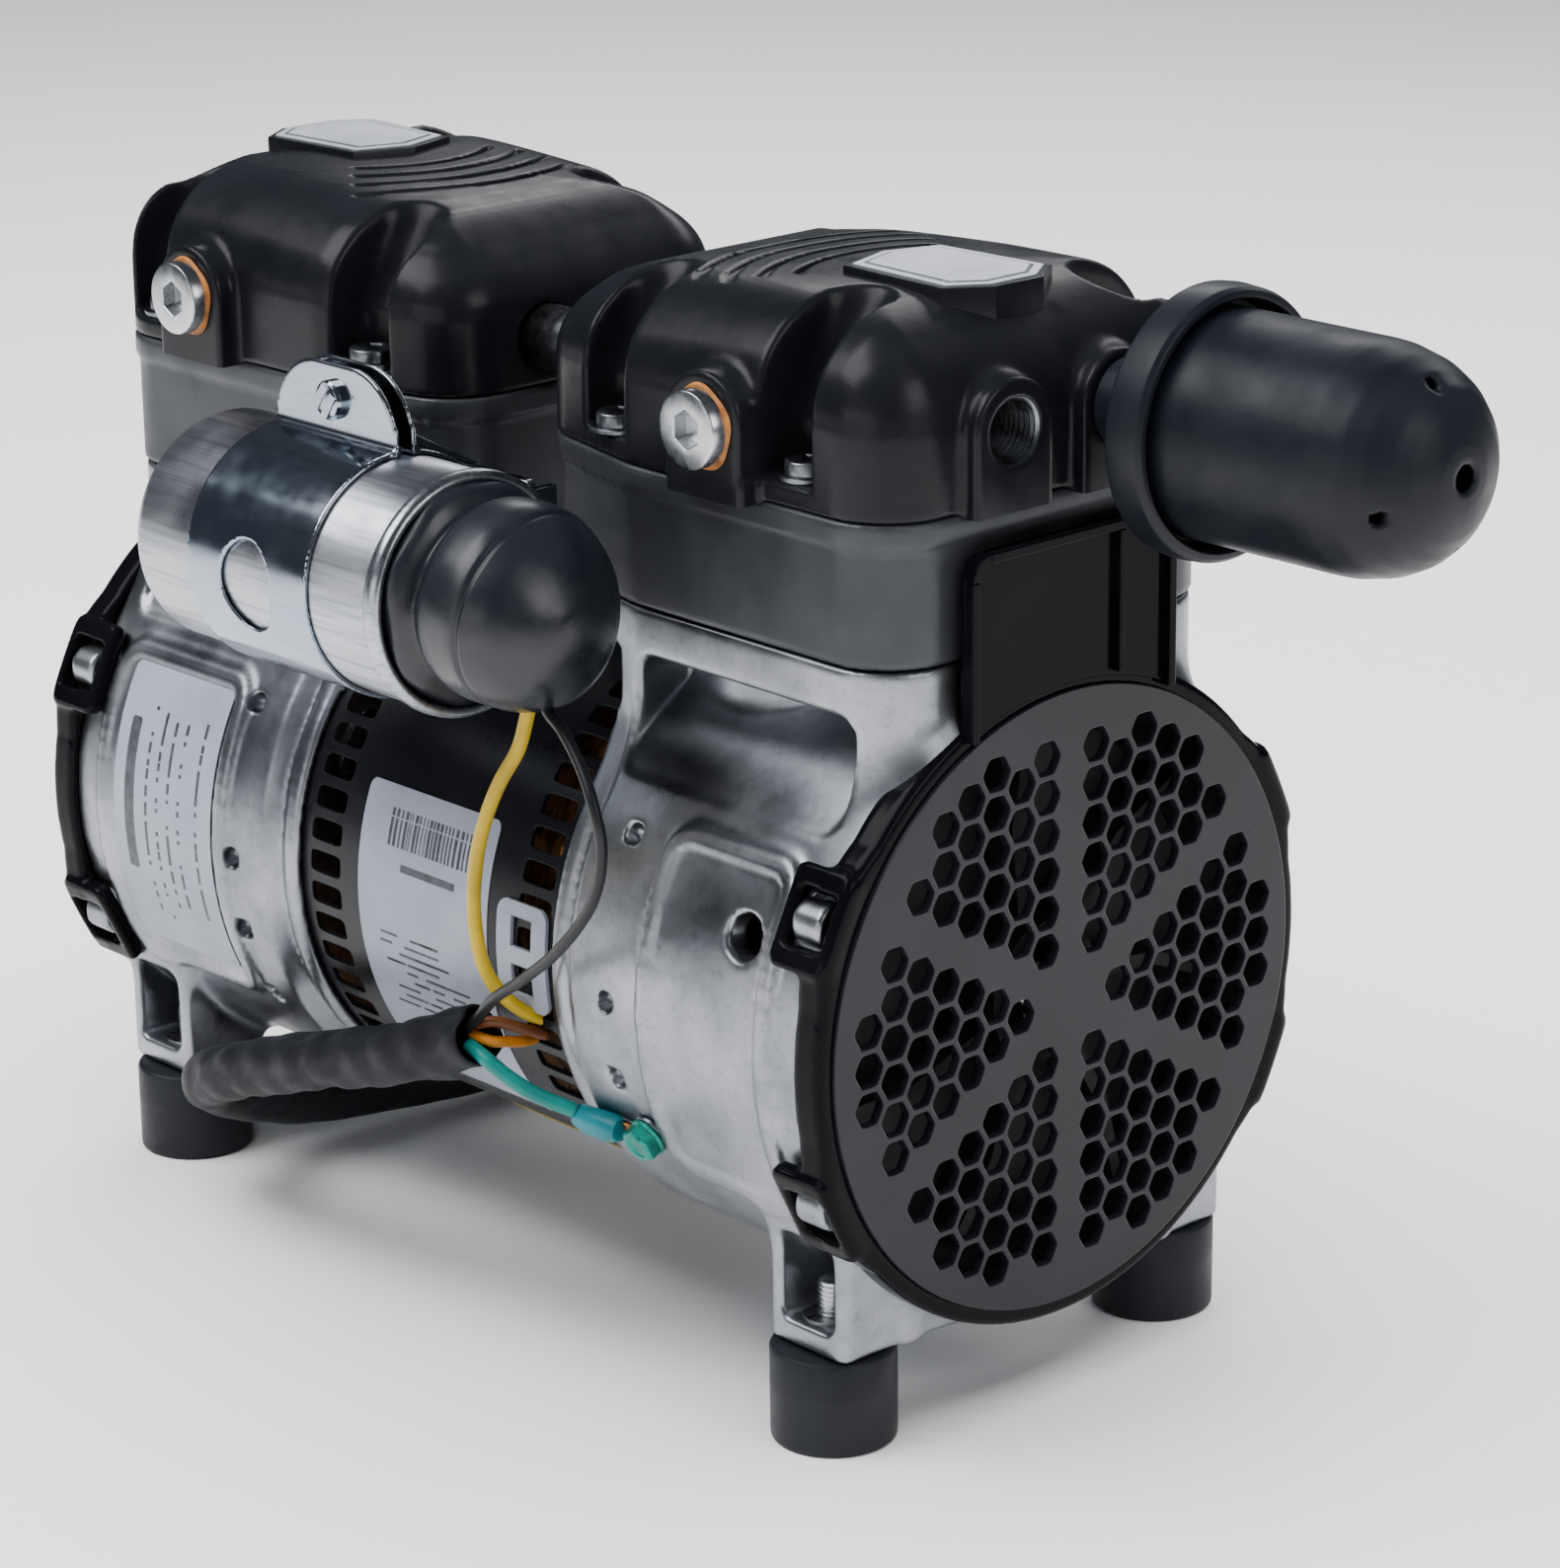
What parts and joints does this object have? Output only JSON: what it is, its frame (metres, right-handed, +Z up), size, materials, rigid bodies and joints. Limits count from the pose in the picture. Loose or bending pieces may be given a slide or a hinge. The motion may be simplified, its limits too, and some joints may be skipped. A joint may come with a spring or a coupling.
{
  "type": "air pump",
  "caption": "Oil-less rocking-piston air pump: a double-ended motor between two crankcases, each with a fan, a cylinder and a head, on rubber feet.",
  "frame": {"origin": "on the floor plane under the feet, at the middle of the object's length and width without the free lead", "axes": "+X along the motor shaft towards the front end with the intake muffler, +Y away from the capacitor, +Z up"},
  "size_m": [0.348, 0.2082, 0.233],
  "materials": {
    "cast_aluminium": "bead-blasted casting, semi-matte",
    "dark_casting": "dark semi-gloss casting",
    "black_paint": "gloss black with a fine orange-peel",
    "black_gloss_plastic": "satin gloss moulding",
    "moulded_plastic": "satin moulding",
    "rubber": "soft satin",
    "steel": "machined",
    "zinc_plate": "bright zinc plating, bluish",
    "drawn_aluminium": "drawn, lightly scratched",
    "copper": "varnished winding",
    "cup_polymer": "filled polymer",
    "yellow_insulation": "satin",
    "black_insulation": "satin",
    "orange_insulation": "satin",
    "green_insulation": "satin",
    "green_steel": "green dyed zinc",
    "sleeving": "dull wrinkled sleeve"
  },
  "bodies": {
    "pump_body": {"front_crankcase": "cast_aluminium", "rear_crankcase": "cast_aluminium", "black_wire": "black_insulation", "capacitor_boot": "rubber", "capacitor_bracket": "zinc_plate", "capacitor_can": "drawn_aluminium", "capacitor_strap": "zinc_plate", "front_cylinder_block": "dark_casting", "front_cylinder_liner": "steel", "front_fan_cover": "black_gloss_plastic", "front_head_cover": "black_paint", "front_left_foot": "rubber", "front_left_plug": "steel", "front_main_bearing": "steel", "front_right_foot": "rubber", "front_right_plug": "steel", "front_valve_plate": "steel", "front_winding": "copper", "green_wire": "green_insulation", "ground_screw": "green_steel", "ground_terminal": "green_insulation", "inlet_transfer_tube": "cast_aluminium", "lead_end_wires": "sleeving", "lead_sleeve": "sleeving", "link_wire": "yellow_insulation", "motor_shell": "black_paint", "muffler_base": "moulded_plastic", "muffler_cap": "moulded_plastic", "orange_wire": "orange_insulation", "outlet_transfer_tube": "cast_aluminium", "rear_cylinder_block": "dark_casting", "rear_cylinder_liner": "steel", "rear_fan_cover": "black_gloss_plastic", "rear_head_cover": "black_paint", "rear_inlet_plug": "steel", "rear_left_foot": "rubber", "rear_left_plug": "steel", "rear_main_bearing": "steel", "rear_outlet_plug": "steel", "rear_right_foot": "rubber", "rear_right_plug": "steel", "rear_valve_plate": "steel", "rear_winding": "copper", "stator_core": "steel", "strap_screw": "zinc_plate", "yellow_wire": "yellow_insulation"},
    "crank": {"motor_shaft": "steel", "rotor": "steel", "front_eccentric": "steel", "rear_eccentric": "steel", "front_fan": "moulded_plastic", "rear_fan": "moulded_plastic"},
    "front_rod": {"front_connecting_rod": "cast_aluminium", "front_piston_cup": "cup_polymer"},
    "rear_rod": {"rear_connecting_rod": "cast_aluminium", "rear_piston_cup": "cup_polymer"},
    "front_inlet_valve": {"front_inlet_reed": "steel"},
    "front_outlet_valve": {"front_outlet_reed": "steel"},
    "rear_inlet_valve": {"rear_inlet_reed": "steel"},
    "rear_outlet_valve": {"rear_outlet_reed": "steel"}
  },
  "joints": [
    {"name": "shaft_spin", "type": "hinge", "parent": "pump_body", "child": "crank", "pos_m": [-0.03978, 0.01685, 0.086], "axis": [1, 0, 0], "continuous": true},
    {"name": "front_rod_turn", "type": "hinge", "parent": "crank", "child": "front_rod", "pos_m": [0.02972, 0.01685, 0.0912], "axis": [1, 0, 0], "continuous": true},
    {"name": "rear_rod_turn", "type": "hinge", "parent": "crank", "child": "rear_rod", "pos_m": [-0.10928, 0.01685, 0.0808], "axis": [1, 0, 0], "continuous": true},
    {"name": "front_inlet_flap", "type": "hinge", "parent": "pump_body", "child": "front_inlet_valve", "pos_m": [0.01972, 0.02785, 0.1901], "axis": [0, 1, 0], "range_deg": [0, 5], "stiffness_Nm_per_rad": 0.02},
    {"name": "front_outlet_flap", "type": "hinge", "parent": "pump_body", "child": "front_outlet_valve", "pos_m": [0.01972, 0.00585, 0.1941], "axis": [0, -1, 0], "range_deg": [0, 5], "stiffness_Nm_per_rad": 0.02},
    {"name": "rear_inlet_flap", "type": "hinge", "parent": "pump_body", "child": "rear_inlet_valve", "pos_m": [-0.09928, 0.02785, 0.1901], "axis": [0, -1, 0], "range_deg": [0, 5], "stiffness_Nm_per_rad": 0.02},
    {"name": "rear_outlet_flap", "type": "hinge", "parent": "pump_body", "child": "rear_outlet_valve", "pos_m": [-0.09928, 0.00585, 0.1941], "axis": [0, 1, 0], "range_deg": [0, 5], "stiffness_Nm_per_rad": 0.02}
  ],
  "couplings": [
    {"joint": "front_rod_turn", "follows": "shaft_spin", "ratio": -1},
    {"joint": "rear_rod_turn", "follows": "shaft_spin", "ratio": -1}
  ]
}
